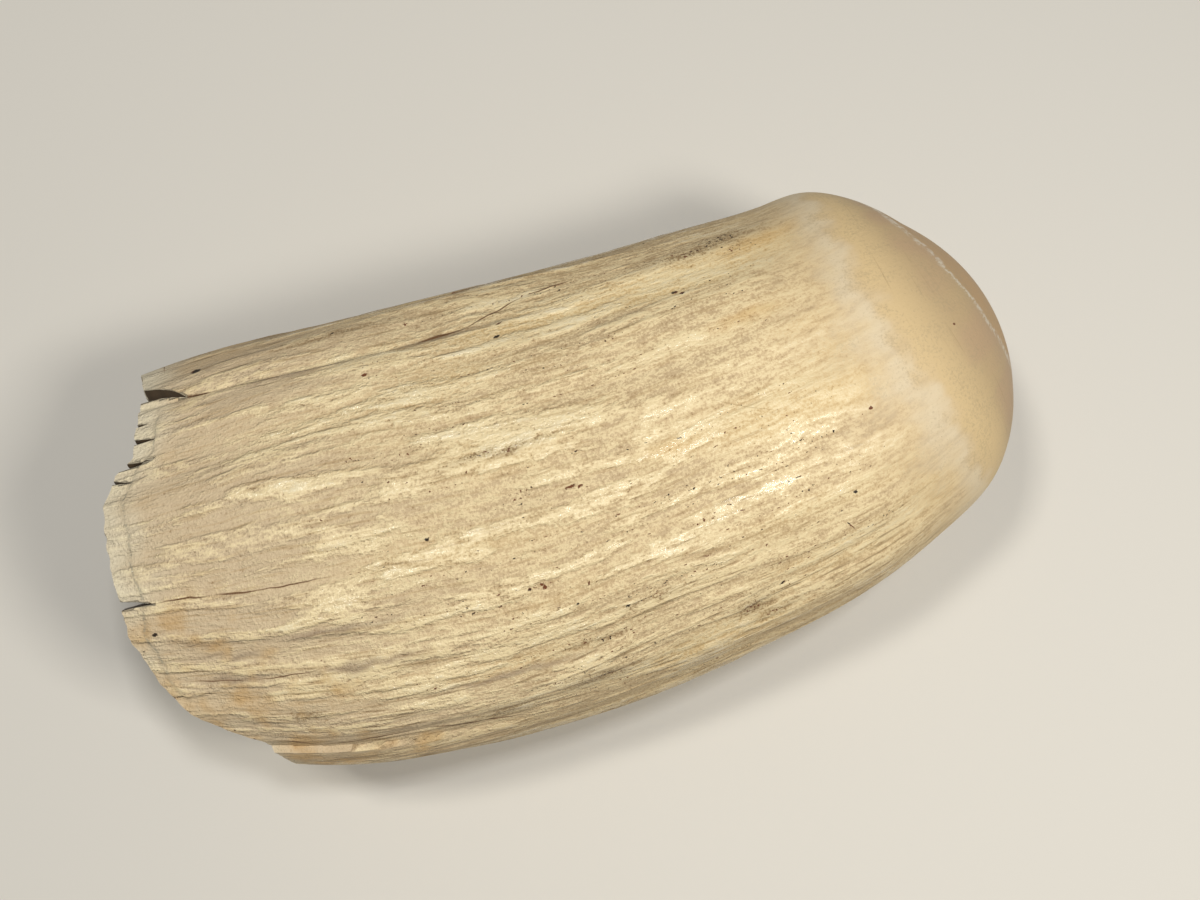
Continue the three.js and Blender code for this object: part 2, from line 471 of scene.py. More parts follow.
@dataclass(frozen=True)
class Mark:
    """A mark on the chart: a pit, a stain or a stretch of a crack."""

    along: float  # mm
    angle: float  # degrees
    length: float  # mm from its middle to an end
    width: float  # mm from its middle to a side
    turned: float = 0.0  # degrees from the grain, towards the front

    @property
    def around(self) -> float:
        """How far round from the top the mark lies, in mm."""
        return math.radians(self.angle - TOP) * CHART_RADIUS

    @property
    def rows(self) -> tuple[Vector, Vector]:
        """Weights of a chart place (along, around, 1).

        Returns:
            Two rows, which give the place in lengths and in widths of the mark.
        """
        across, up = on_circle(self.turned)
        middle = Vector((self.along, self.around, 0))
        sides = Vector((across, up, 0)) / self.length, Vector((-up, across, 0)) / self.width
        return tuple(side - Vector((0, 0, side.dot(middle))) for side in sides)

    def share(self, along: float, around: float) -> float:
        """Finds how strong the mark is at a place.

        Args:
            along: Distance along the tooth, in mm.
            around: Distance round from the top, in mm.

        Returns:
            1 in the middle of the mark, fading to 0 at its outline.
        """
        ahead = along - self.along
        if abs(ahead) > self.length + self.width:
            return 0.0
        aside = around - self.around
        across, up = on_circle(self.turned)
        lengthwise = (ahead * across + aside * up) / self.length
        sideways = (aside * across - ahead * up) / self.width
        return 1 - fade(math.hypot(lengthwise, sideways), 0, 1)


@dataclass(frozen=True)
class Trace:
    """A line on the chart through a few points, drawn as marks that overlap."""

    width: float  # mm
    points: Line  # mm along the tooth, and degrees round from the back edge
    overlap: float = 0.64  # half-length of a mark for each mm between two points

    @property
    def marks(self) -> tuple[Mark, ...]:
        """Draws the line as marks.

        Returns:
            One mark for each stretch of the line.
        """
        marks = []
        for (start, from_angle), (end, to_angle) in zip(self.points, self.points[1:]):
            aside = math.radians(to_angle - from_angle) * CHART_RADIUS
            length = self.overlap * math.hypot(end - start, aside)
            turned = math.degrees(math.atan2(aside, end - start))
            marks.append(Mark((start + end) / 2, (from_angle + to_angle) / 2, length, self.width, turned))
        return tuple(marks)


@dataclass(frozen=True)
class Spots:
    """Broad soft marks, which the mesh carries: stains, grooves that are grey partly with dirt and partly
    as painted shade, golden patches, and polished ridges painted paler where the glints fall.
    """

    stains: tuple[Mark, ...] = (
        Mark(45.6, 157.2, 7, 2.8), Mark(61, 153.5, 8, 2.4), Mark(83.5, 151, 5.5, 4.2),
        Mark(87, 156, 6, 1.6), Mark(104, 42, 17, 4.0), Mark(96, 44, 14, 3.0), Mark(61, 140, 11, 1.1),
        Mark(57, 88, 13, 0.9), Mark(70, 133, 10, 0.8), Mark(20.3, 142.8, 4.5, 2.4), Mark(40, 37, 18, 1.5),
        Mark(64, 30, 20, 1.8), Mark(34, 22, 14, 1.5),
    )
    # Broad grooves, grey partly with dirt and partly as painted shade
    grooves: tuple[Trace, ...] = (
        Trace(0.8, ((5, 118), (16, 119.2), (40, 119))), Trace(0.6, ((6, 122.6), (20, 123.4))),
        Trace(1.0, ((5.8, 130.6), (20, 130), (40, 129))),
        Trace(1.1, ((24, 48.6), (44, 50.4), (68, 49.4))), Trace(0.8, ((34, 141.6), (62, 142.8))),
        Trace(1.1, ((36, 5), (56, 12), (80, 18))),
    )
    golden: tuple[Mark, ...] = (
        Mark(79.5, 99.2, 7, 1.5), Mark(109, 48, 13, 2.6), Mark(98, 74, 9, 1.6),
    )
    # Polished ridges, raised and painted paler where the glints fall: partly a painted highlight
    glint_ridges: tuple[Trace, ...] = (
        Trace(1.0, ((20, 83), (38, 86.2))),
        Trace(1.3, ((18, 100.8), (45, 101.2))),
        Trace(0.8, ((37, 112), (46, 112.4))),
        Trace(0.9, ((74, 102), (90, 100.2))),
        Trace(1.1, ((75, 117.6), (97, 117.4))),
        Trace(0.8, ((25, 68), (39, 69.2))),
    )
    crook: float = 0.9  # mm that the marks' edges wander
    crook_size: float = 2.5  # mm

    @cached_property
    def kinds(self) -> list[Iterable[Mark]]:
        """The marks of each kind: stains, grooves, golden patches and ridges."""
        lines = ([mark for line in kind for mark in line.marks] for kind in (self.grooves, self.glint_ridges))
        return [self.stains, next(lines), self.golden, next(lines)]

    def at(self, reach: float, angle: float) -> list[float]:
        """Finds what the marks come to at a place.

        Args:
            reach: Distance along the tooth, in mm.
            angle: Degrees round from the back edge.

        Returns:
            Shares of a stain, a groove, a golden patch and a ridge.
        """
        around = math.radians(turn(TOP, angle)) * CHART_RADIUS
        around += self.crook * noise.noise(Vector((reach, around, 0)) / self.crook_size)
        return [max(mark.share(reach, around) for mark in marks) for marks in self.kinds]


@dataclass(frozen=True)
class Tooth:
    """The whole tooth as one closed mesh."""

    outline: Outline = Outline()
    edge: BrokenEdge = BrokenEdge()
    relief: Relief = Relief()
    spots: Spots = Spots()
    glint_ridge_crest: float = 1.1  # how far a polished ridge rises over a flake's share, which also paints it paler where the glints fall
    segments: int = 500  # round the tooth
    tip_rings: int = 126
    edge_rings: int = 22  # finer rings along the broken edge
    edge_reach: float = 11.0  # mm that they cover
    wall_rings: int = 4
    cavity_rings: int = 34
    cavity_share: float = 0.905  # of the outside's width, at the mouth
    cavity_end: float = 0.37  # place on the way from root to tip
    cavity_taper: float = 0.82  # below 1 it narrows late
    cavity_depth: float = 60.0  # mm
    wall_thickness: float = 2.6  # mm
    wall_rough: float = 0.45  # mm
    growth_height: float = 0.25  # mm of the growth rings in the cavity
    wall_reach: float = 6.0  # mm that a wedge goes in and out of the wall
    sharp_angle: float = 50.0  # degrees between faces that stay sharp
    split_bend: float = 0.12  # of a split's mouth
    bend_length: float = 2.5  # mm
    split_overrun: float = 4.0  # mm that a wedge starts outside the edge
    split_cuts: int = 5
    split_end: float = 0.03  # of its mouth, so that a wedge doesn't end in a line
    weld: float = 0.001  # mm within which the rolled sheet's borders are joined

    @property
    def outer_rings(self) -> int:
        """Rings from the tip to the broken edge."""
        return self.tip_rings + self.edge_rings

    @property
    def rings(self) -> int:
        """Rings from the tip to the cavity's point."""
        return self.outer_rings + self.wall_rings + self.cavity_rings

    def outer_along(self, ring: int, angle: float) -> float:
        """Places a ring of the outside: the rings are finer along the broken edge.

        Args:
            ring: Ring from the tip.
            angle: Degrees round from the back edge.

        Returns:
            Its place on the way from root to tip.
        """
        start = self.edge.at(angle)
        reach = self.edge_reach / BODY_STRETCH
        if ring >= self.tip_rings:
            return start + reach * (self.outer_rings - ring) / self.edge_rings
        return mix(1.0, start + reach, ring / self.tip_rings)

    def outside(self, ring: int, angle: float) -> tuple[Vector, Vector, float]:
        """Point, zones and flake share of a place on the outside.

        Args:
            ring: Ring from the tip.
            angle: Degrees round from the back edge.

        Returns:
            The point in mm, its zones and its flake share.
        """
        along = self.outer_along(ring, angle)
        inward = (along - self.edge.at(angle)) * BODY_STRETCH
        cement, flake = self.relief.cement(along, angle, inward)
        stand_out = self.relief.height(along, angle) + cement - self.edge.ledge(inward, angle)
        zones = (inward, self.relief.past_collar(along, angle), self.relief.past_apex(along, angle))
        return self.outline.ring_point(along, angle, 1.0, stand_out), Vector(zones), flake

    def wall(self, step: int, angle: float) -> tuple[Vector, Vector, float]:
        """Point, zones and flake share of a place on the broken face of the wall.

        Args:
            step: Ring from the outside.
            angle: Degrees round from the back edge.

        Returns:
            The point in mm, its zones and its flake share.
        """
        depth = step / self.wall_rings
        along = self.edge.at(angle)
        rough = self.wall_rough * noise.noise(Vector((*on_circle(angle, 16), 3 * depth)))
        rough *= math.sin(math.pi * min(depth, 0.9))
        stand_out = (1 - depth) * (self.relief.height(along, angle) - self.edge.ledge(0, angle))
        share = mix(1.0, self.cavity_share, depth)
        point = self.outline.ring_point(along + rough / BODY_STRETCH, angle, share, stand_out)
        return point, Vector((-self.wall_thickness * depth, INSIDE, INSIDE)), 0.5

    def cavity(self, step: int, angle: float) -> tuple[Vector, Vector, float]:
        """Point, zones and flake share of a place in the pulp cavity, with its faint growth rings.

        Args:
            step: Ring from the cavity's mouth.
            angle: Degrees round from the back edge.

        Returns:
            The point in mm, its zones and its flake share.
        """
        inward = step / self.cavity_rings
        along = mix(self.edge.at(angle), self.cavity_end, inward)
        growth = self.growth_height * noise.noise(Vector((along * 60, *on_circle(angle, 0.6))))
        share = self.cavity_share * (1 - inward) ** self.cavity_taper
        point = self.outline.ring_point(along, angle, share, growth * fade(inward, 0, 0.08))
        return point, Vector((inward * self.cavity_depth, INSIDE, INSIDE)), 0.5

    def place(self, ring: int, angle: float) -> tuple[Vector, Vector, float]:
        """Point, zones and flake share of a place on any ring.

        Args:
            ring: Ring from the tip.
            angle: Degrees round from the back edge.

        Returns:
            The point in mm, its zones and its flake share.
        """
        if ring <= self.outer_rings:
            return self.outside(ring, angle)
        if ring <= self.outer_rings + self.wall_rings:
            return self.wall(ring - self.outer_rings, angle)
        return self.cavity(ring - self.outer_rings - self.wall_rings, angle)

    def chart(self, ring: int, angle: float) -> tuple[Vector, Vector]:
        """Charts a place.

        Args:
            ring: Ring from the tip.
            angle: Degrees round from the back edge.

        Returns:
            The place on the chart, and the place on the wandering grain.
        """
        along = self.outer_along(ring, angle) if ring <= self.outer_rings else self.edge.at(angle)
        reach = along * BODY_STRETCH
        swung = angle + self.relief.wander(reach, angle)
        return tuple(Vector((reach, *on_circle(turned, CHART_RADIUS))) for turned in (angle, swung))

    def shaped(self) -> bpy.types.Mesh:
        """Rolls a sheet round the tooth, closes it and writes the layers that the finishes read.

        Returns:
            The closed mesh, without its splits.
        """
        form = bmesh.new()
        bmesh.ops.create_grid(form, x_segments=self.segments, y_segments=self.rings, size=0.5)
        place = form.verts.layers.float_vector.new(Layer.PLACE.value)
        grain = form.verts.layers.float_vector.new(Layer.GRAIN.value)
        zones = form.verts.layers.float_vector.new(Layer.ZONES.value)
        crest = form.verts.layers.float.new(Layer.CREST.value)
        spots = form.verts.layers.float_vector.new(Layer.SPOTS.value)
        last_outside = self.outer_rings + self.wall_rings
        ring_of = {}
        for vert in form.verts:
            ring = round((vert.co.y + 0.5) * self.rings)
            angle = round((vert.co.x + 0.5) * self.segments) % self.segments * 360 / self.segments
            point, vert[zones], vert[crest] = self.place(ring, angle)
            point.z = max(point.z, 0.0)
            vert[place], vert[grain] = self.chart(ring, angle)
            if ring <= self.outer_rings:
                # Ridges where the glints fall raise the crest: they stand out, take a polish and are
                # painted paler, partly a painted highlight
                *vert[spots], ridge = self.spots.at(vert[place].x, angle)
                vert[crest] += self.glint_ridge_crest * ridge
            vert.co = point * MM
            ring_of[vert] = ring
        for face in form.faces:
            inside = min(ring_of[vert] for vert in face.verts) >= last_outside
            face.material_index = (Face.CAVITY if inside else Face.OUTSIDE).value
            face.smooth = True
        bmesh.ops.remove_doubles(form, verts=form.verts, dist=self.weld * MM)
        bmesh.ops.recalc_face_normals(form, faces=form.faces)
        mesh = bpy.data.meshes.new(NODE)
        form.to_mesh(mesh)
        form.free()
        return mesh

    def wedges(self) -> bpy.types.Mesh:
        """Makes the crooked wedges that cut the splits.

        Returns:
            One mesh of all wedges.
        """
        form = bmesh.new()
        for split in self.edge.splits:
            start = self.edge.at(split.mouth_angle)
            mouth = self.outline.ring_point(start, split.mouth_angle)
            end = self.outline.ring_point(start + split.length / BODY_STRETCH, split.end_angle)
            middle = self.outline.ring_point(start, split.mouth_angle, 0.0)
            inward = (end - mouth).normalized()
            across = (mouth - middle).cross(inward).normalized()
            basis = Matrix((inward, across, inward.cross(across))).transposed().to_4x4()
            before = len(form.verts)
            cube = bmesh.ops.create_cube(form, size=1.0)["verts"]
            sides = {edge for vert in cube for edge in vert.link_edges}
            long = [edge for edge in sides if abs(edge.verts[0].co.x - edge.verts[1].co.x) > 0.5]
            bmesh.ops.subdivide_edges(form, edges=long, cuts=self.split_cuts)
            for vert in list(form.verts)[before:]:
                share = vert.co.x + 0.5
                reach = mix(-self.split_overrun, split.length, share)
                half = split.mouth / 2 * max(self.split_end, (split.length - reach) / split.length)
                swing = noise.noise(Vector((reach / self.bend_length, split.mouth_angle, 0)))
                bend = self.split_bend * split.mouth * swing
                vert.co = Vector((reach, bend + 2 * half * vert.co.y, 2 * self.wall_reach * vert.co.z))
                vert.co = (basis @ vert.co + mouth) * MM
        for face in form.faces:
            face.material_index = Face.SPLIT.value
        bmesh.ops.recalc_face_normals(form, faces=form.faces)
        mesh = bpy.data.meshes.new("splits")
        form.to_mesh(mesh)
        form.free()
        return mesh

    def build(self) -> bpy.types.Object:
        """Builds the tooth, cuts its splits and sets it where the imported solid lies.

        Returns:
            The finished piece, at the origin.
        """
        whole = bpy.data.objects.new("whole", self.shaped())
        cutter = bpy.data.objects.new("splits", self.wedges())
        for item in (whole, cutter):
            bpy.context.scene.collection.objects.link(item)
        cut = whole.modifiers.new("splits", "BOOLEAN")
        cut.operation, cut.solver, cut.object = "DIFFERENCE", "EXACT", cutter
        bpy.context.view_layer.update()
        mesh = bpy.data.meshes.new_from_object(whole.evaluated_get(bpy.context.evaluated_depsgraph_get()))
        for item in (whole, cutter):
            bpy.data.objects.remove(item)
        low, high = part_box(NODE)
        own = [Vector(map(pick, *(vert.co for vert in mesh.vertices))) for pick in (min, max)]
        shift = (low + high) / 2 - (own[0] + own[1]) / 2
        mesh.transform(Matrix.Translation((shift.x, shift.y, 0)))
        mesh.set_sharp_from_angle(angle=math.radians(self.sharp_angle))
        mesh.name = "tooth_surface"
        piece = bpy.data.objects.new("tooth_surface", mesh)
        bpy.context.scene.collection.objects.link(piece)
        return piece


class Graph:
    """A material's node tree, filled one node at a time."""

    def __init__(self, name: str) -> None:
        """Starts an empty material.

        Args:
            name: What the material is.
        """
        self.material = bpy.data.materials.new(name)
        self.material.use_nodes = True
        self.tree = self.material.node_tree
        self.tree.nodes.clear()

    def add(self, kind: str, inputs: Any = (), output: Any = 0, **settings: Any) -> Socket:
        """Adds a node with its settings and links.

        Args:
            kind: Blender's name for the node, without the ShaderNode that all of them start with.
            inputs: Values or sockets, in order or by the input's name; None leaves an input as it is.
            output: Name or place of the output to hand back.
            **settings: Properties of the node.

        Returns:
            The output socket.
        """
        node = self.tree.nodes.new("ShaderNode" + kind)
        for name, value in settings.items():
            setattr(node, name, value)
        pairs = inputs.items() if isinstance(inputs, dict) else enumerate(inputs)
        for name, value in pairs:
            if isinstance(value, Socket):
                self.tree.links.new(value, node.inputs[name])
            elif value is not None:
                node.inputs[name].default_value = value
        return node.outputs[output] if len(node.outputs) else None


class Grain(Enum):
    """Noises drawn out along the grain: length and width in mm, and octaves of detail."""

    BROAD = (45.0, 7.0, 1.0)  # slow change of tone
    STREAK = (17.0, 2.1, 2.0)  # bands of flakes
    THREAD = (9.0, 0.5, 2.0)  # fine lines of dirt
    CRUMB = (2.6, 0.75, 2.0)  # ragged edges of the flakes
    ROW = (60.0, 3.2, 1.0)  # lines that pits follow
    HOLE = (0.5, 0.36, 1.0)  # single pits


class Chart:
    """Where a point lies on the tooth, and the noises that vary over it, as sockets of a material."""

    grit_size: float = 0.42  # mm
    blotch_size: float = 5.0  # mm
    crook: float = 0.6  # mm that cracks wander to each side
    ragged_edge: float = 0.35  # mm that the outline of a pit wanders

    def __init__(self, graph: Graph) -> None:
        """Reads the mesh's layers and adds the noises.

        Args:
            graph: The material's nodes.
        """
        self.add = add = graph.add
        place = add("Attribute", output="Vector", attribute_name=Layer.PLACE.value)
        grain = add("Attribute", output="Vector", attribute_name=Layer.GRAIN.value)
        zones = add("Attribute", output="Vector", attribute_name=Layer.ZONES.value)
        spots = add("Attribute", output="Vector", attribute_name=Layer.SPOTS.value)
        self.crest = add("Attribute", output="Fac", attribute_name=Layer.CREST.value)
        self.stain, self.groove, self.gold = add("SeparateXYZ", (spots,)).node.outputs
        self.inward, self.past, self.apex = add("SeparateXYZ", (zones,)).node.outputs
        self.along, self.across, self.up = add("SeparateXYZ", (place,)).node.outputs
        aside = add("Math", (self.across, -1.0), **TIMES)
        around = add("Math", (aside, self.up), operation="ARCTAN2")
        self.around = add("Math", (around, CHART_RADIUS), **TIMES)
        self.aside = add("Math", (self.around,), operation="ABSOLUTE")
        self.flat = add("CombineXYZ", (self.along, self.around, 1.0))
        here = add("TexCoord", output="Object")
        grit = {"Vector": here, "Scale": 1 / (self.grit_size * MM), "Detail": 2.0, "Roughness": 0.7}
        self.grit = add("TexNoise", grit)
        self.blotch = add("TexNoise", {"Vector": here, "Scale": 1 / (self.blotch_size * MM), "Detail": 2.0})
        bent = add("MapRange", (self.blotch, 0.0, 1.0, -self.crook, self.crook))
        bent = add("Math", (self.around, bent), operation="ADD")
        self.crooked = add("CombineXYZ", (self.along, bent, 1.0))
        loose = add("MapRange", (self.grit, 0.0, 1.0, -self.ragged_edge, self.ragged_edge))
        loose_along = add("Math", (self.along, loose), operation="ADD")
        loose_around = add("Math", (self.around, loose), operation="SUBTRACT")
        self.ragged = add("CombineXYZ", (loose_along, loose_around, 1.0))
        self.noise = {}
        for kind in Grain:
            length, width, detail = kind.value
            drawn = add("VectorMath", (grain, (1 / length, 1 / width, 1 / width)), **TIMES)
            inputs = {"Vector": drawn, "Scale": 1.0, "Detail": detail, "Roughness": 0.62}
            self.noise[kind] = add("TexNoise", inputs)
        self.broken = add("MapRange", (self.noise[Grain.CRUMB], 0.4, 0.6, 0.0, 1.0), **SOFT)
        self.low_side = add("MapRange", (self.around, 4.0, 14.0, 0.1, 1.0), **SOFT)

        # Where the cement of the body ends, ragged
        self.drift = add("Math", (self.blotch, 6.0, self.past), **PLUS_TIMES)
        self.tip = add("MapRange", (self.drift, -12.0, 3.0, 0.0, 1.0), **SOFT)
        self.body = add("Math", (1.0, self.tip), operation="SUBTRACT")


class Zone(Enum):
    """Part of the outside that a coat of colour keeps to."""

    ALL = "all"
    BODY = "body"
    TIP = "tip"


@dataclass(frozen=True)
class Coat:
    """A coat of colour: the name of the share that it covers, its colour and its zone."""

    share: str
    colour: str
    zone: Zone = Zone.ALL


@dataclass(frozen=True)
class IvoryFinish:
    """Weathered whale ivory: cement in flaky streaks over the body and a tip worn smooth by use.

    Raised flakes are cream and take a soft polish, the ground between them is a matte grey tan, and dirt
    sits in the furrows, pits and cracks. The two sides and the broad grooves are darker partly as painted
    shade, and the polished ridges are painted paler where the glints fall. The worn tip is smoother and
    warmer. Each method below adds one kind of surface and hands back how much of it there is at a place, by
    name, for the coats of colour.
    """

    name: str = "weathered whale ivory"
    ground: str = "#CFB68C"
    coats: tuple[Coat, ...] = (  # from the ground up
        Coat("low", "#B49E7C"),  # grey tan between the flakes
        Coat("warm", "#DABD85"),  # broad warm bands
        Coat("mottle", "#EBD8AC", Zone.BODY),  # crumbs of cement on the ground
        Coat("root", "#CDB99A"),  # duller, pinker cement near the break
        Coat("flakes", "#EBD8AC", Zone.BODY),  # cream flakes
        Coat("light", "#F4E9CA", Zone.BODY),  # their palest crests, also painted onto the ridges where the glints fall
        Coat("golden", "#C79F5C"),  # golden patches
        Coat("tea", "#AE8F60", Zone.BODY),  # thin brown lines
        Coat("groove", "#94806A"),  # grey in the broad grooves, partly dirt and partly painted shade
        Coat("dusk", "#94794F", Zone.BODY),  # browner sides, partly their own tone and partly painted shade where they turn away from the lamps
        Coat("fleck", "#8A6A40", Zone.BODY),  # brown flecks between crumbs
        Coat("thread", "#7C6444", Zone.BODY),  # dark lines in the furrows
        Coat("stain", "#94805F"),  # dirty patches
        Coat("rust", "#C29D66"),  # rusty blotches near the break
        Coat("pale", "#DDD6BE"),  # chalky broken edge
        Coat("line", "#8E8B7C"),  # where the outer layer ends
        Coat("band", "#E2D8C0"),  # pale band behind the collar
        Coat("warm_band", "#D4BB8D"),  # smooth warm band past it
        Coat("dome", "#B8A17B"),  # worn dome
        Coat("pink", "#B4987A"),  # its pinker clouds
        Coat("apex", "#B6976E"),  # bare dentine of the apex
        Coat("cloud", "#A39374", Zone.TIP),  # grey clouds of wear
        Coat("border", "#DAD4C4"),  # pale border of the apex
        Coat("scuffs", "#7C6444"),  # fine scuffs round the tip
        Coat("pits", "#2B1F14"),  # dirt in the pits
        Coat("red", "#7A4526"),  # pits with red dirt
        Coat("cracks", "#6B4A2A"),  # dirt in the cracks
        Coat("scratches", "#A08455"),  # hair scratches
    )
    flake_roughness: float = 0.14
    ground_roughness: float = 0.64
    tip_roughness: float = 0.6
    scuff_width: float = 0.35  # mm
    scuff_length: float = 14.0  # mm round the tip
    pits: tuple[Mark, ...] = (
        Mark(19.7, 35, 1.0, 0.9), Mark(90.3, 58, 0.6, 0.4), Mark(91.2, 59.5, 0.5, 0.35),
        Mark(64.6, 100.4, 0.8, 0.25), Mark(66, 100.8, 0.4, 0.2), Mark(66.3, 132.8, 0.4, 0.34, 20),
        Mark(56.6, 121.2, 0.32, 0.3), Mark(56.4, 120.2, 0.28, 0.26), Mark(54.6, 120.6, 0.3, 0.2),
        Mark(44.1, 103, 0.36, 0.32), Mark(88.3, 146.4, 0.5, 0.3, -20), Mark(101.7, 127.6, 0.5, 0.26, 30),
        Mark(99.8, 136.8, 1.3, 0.16, 62), Mark(1.5, 120, 0.2, 0.16), Mark(108.9, 109.2, 0.5, 0.3),
        Mark(63.5, 56, 0.7, 0.3, -20), Mark(64.6, 51, 0.6, 0.22, -20), Mark(43.6, 58, 0.45, 0.3),
        Mark(4.1, 114.8, 0.5, 0.3), Mark(133.7, 103, 0.5, 0.3),
    )
    cracks: tuple[Trace, ...] = (
        Trace(0.2, ((-2, 105), (6, 105.7), (14, 106), (21, 106))),
        Trace(0.13, ((19, 106), (30, 106.5))),
        Trace(0.34, ((16, 45), (24, 47.4), (38, 49.2), (51, 49.3), (61, 48.6))),
        Trace(0.2, ((59, 49.2), (70, 41.5), (78, 38.6))),
        Trace(0.3, ((15, 154.6), (20, 158.6), (34, 155.8), (48, 164))),
        Trace(0.12, ((14.5, 14), (14.7, 29))),
        Trace(0.1, ((10, 25), (19, 28))),
        Trace(0.1, ((10, 19), (24, 23))),
        Trace(0.11, ((5.8, 130.2), (15, 130.8), (25, 129.2))),
    )
    scratches: tuple[Mark, ...] = (
        Mark(90, 94.4, 4, 0.09, 32), Mark(93, 97.6, 3, 0.07, 26), Mark(45, 111, 2.6, 0.07, 55),
        Mark(47.5, 110, 2, 0.06, 48), Mark(49.5, 111, 2.4, 0.06, 52),
    )

    def marks(self, chart: Chart, flat: Socket, marks: Iterable[Mark], soft: float) -> Socket:
        """Draws all marks of a kind.

        Args:
            chart: The tooth's chart.
            flat: Place on the flat chart.
            marks: The marks to draw.
            soft: Share of a mark's size at which it starts to fade.

        Returns:
            1 inside a mark and 0 outside.
        """
        add = chart.add
        nearest = 1.0
        for mark in marks:
            lengthwise, sideways = mark.rows
            ahead = add("VectorMath", (flat, lengthwise), "Value", operation="DOT_PRODUCT")
            aside = add("VectorMath", (flat, sideways), "Value", operation="DOT_PRODUCT")
            squared = add("Math", (ahead, ahead), **TIMES)
            squared = add("Math", (aside, aside, squared), **PLUS_TIMES)
            nearest = add("Math", (nearest, squared), operation="MINIMUM")
        away = add("Math", (nearest,), operation="SQRT")
        return add("MapRange", (away, soft, 1.0, 1.0, 0.0), **SOFT)

    def cement(self, chart: Chart) -> Shares:
        """Ragged cream flakes over the matte ground of the body.

        Args:
            chart: The tooth's chart.

        Returns:
            Shares of the ground's tones, of the flakes and of the ridges that take a polish.
        """
        add, noise = chart.add, chart.noise
        # The crest carries the ridges, so the flakes are painted paler where the glints fall
        flaky = add("Math", (chart.crest, 0.2), **TIMES)
        weights = {Grain.STREAK: 0.7, Grain.CRUMB: 0.7, Grain.BROAD: 0.3}
        for kind, weight in weights.items():
            flaky = add("Math", (noise[kind], weight, flaky), **PLUS_TIMES)
        flaky = add("Math", (chart.grit, 0.45, flaky), **PLUS_TIMES)
        worn = add("MapRange", (chart.inward, 5.0, 38.0, 0.13, 0.0), **SOFT)
        flaky = add("Math", (flaky, worn), operation="SUBTRACT")
        mottle = add("Math", (noise[Grain.CRUMB], 0.7, chart.grit), **PLUS_TIMES)
        return {
            "low": add("MapRange", (flaky, 0.92, 1.18, 0.55, 0.0), **SOFT),
            "flakes": add("MapRange", (flaky, 1.04, 1.34, 0.0, 1.0), **SOFT),
            "light": add("MapRange", (flaky, 1.28, 1.55, 0.0, 0.7), **SOFT),
            "ridge": add("MapRange", (flaky, 1.16, 1.38, 0.0, 1.0), **SOFT),
            "warm": add("MapRange", (noise[Grain.BROAD], 0.45, 0.7, 0.0, 0.6), **SOFT),
            "mottle": add("MapRange", (mottle, 0.75, 0.96, 0.0, 0.7), **SOFT),
        }

    def dirt_and_shade(self, chart: Chart) -> Shares:
        """Dirt in the furrows, most of it along the two sides, and in flecks that crowd together in stains;
        the sides and the broad grooves also get painted shade.

        Args:
            chart: The tooth's chart.

        Returns:
            Shares of each kind of dirt, of the sides' tone and painted shade, of the grooves' dirt and
            painted shade, and of the golden patches.
        """
        add, noise = chart.add, chart.noise
        side = add("MapRange", (chart.aside, 14.0, 34.0, 0.0, 0.12), **SOFT)
        thread = add("Math", (noise[Grain.THREAD], side), operation="ADD")
        # Browner and darker towards both sides: partly the sides' own tone, partly painted shade where they
        # turn away from the lamps
        back = add("MapRange", (chart.around, -40.0, -22.0, 0.6, 0.0), **SOFT)
        front = add("MapRange", (chart.around, 30.0, 44.0, 0.0, 0.4), **SOFT)
        fleck = add("Math", (noise[Grain.CRUMB], 0.6, chart.grit), **PLUS_TIMES)
        fleck = add("Math", (chart.stain, -0.24, fleck), **PLUS_TIMES)
        return {
            "tea": add("MapRange", (noise[Grain.THREAD], 0.5, 0.7, 0.0, 0.4), **SOFT),
            "thread": add("MapRange", (thread, 0.64, 0.86, 0.0, 0.7), **SOFT),
            "dusk": add("Math", (back, front), operation="MAXIMUM"),
            "fleck": add("MapRange", (fleck, 0.48, 0.66, 0.7, 0.0), **SOFT),
            "stain": add("Math", (chart.stain, 0.45), **TIMES),
            "golden": add("Math", (chart.gold, 0.5), **TIMES),
            # Grey along the broad grooves, partly dirt and partly painted shade
            "groove": add("Math", (chart.groove, 0.8), **TIMES),
        }

    def broken_edge(self, chart: Chart) -> Shares:
        """Pale broken edge, with a broken grey line where the outer layer ends.

        Args:
            chart: The tooth's chart.

        Returns:
            Shares of the root's tone, the rust, the pale edge and the line.
        """
        add = chart.add
        rust = add("Math", (chart.inward, -0.01, chart.blotch), **PLUS_TIMES)
        rust = add("MapRange", (rust, 0.34, 0.62, 0.0, 0.7), **SOFT)
        pale = add("Math", (chart.blotch, 8.0, chart.inward), **PLUS_TIMES)
        pale = add("Math", (chart.low_side, 5.0, pale), **PLUS_TIMES)
        line = add("Math", (chart.blotch, 1.6, chart.inward), **PLUS_TIMES)
        narrow = add("MapRange", (chart.around, 5.0, 21.0, -4.0, -2.6))
        line = add("Math", (line, narrow), operation="ADD")
        line = add("Math", (line,), operation="ABSOLUTE")
        line = add("MapRange", (line, 0.05, 0.35, 0.5, 0.0), **SOFT)
        on_top = add("MapRange", (chart.aside, 19.0, 24.0, 1.0, 0.0), **SOFT)
        line = add("Math", (line, on_top), **TIMES)
        return {
            "root": add("MapRange", (chart.inward, 5.0, 60.0, 0.8, 0.0), **SOFT),
            "rust": add("Math", (rust, chart.low_side), **TIMES),
            "pale": add("MapRange", (pale, 2.0, 14.0, 0.75, 0.0), **SOFT),
            "line": add("Math", (line, chart.broken), **TIMES),
        }

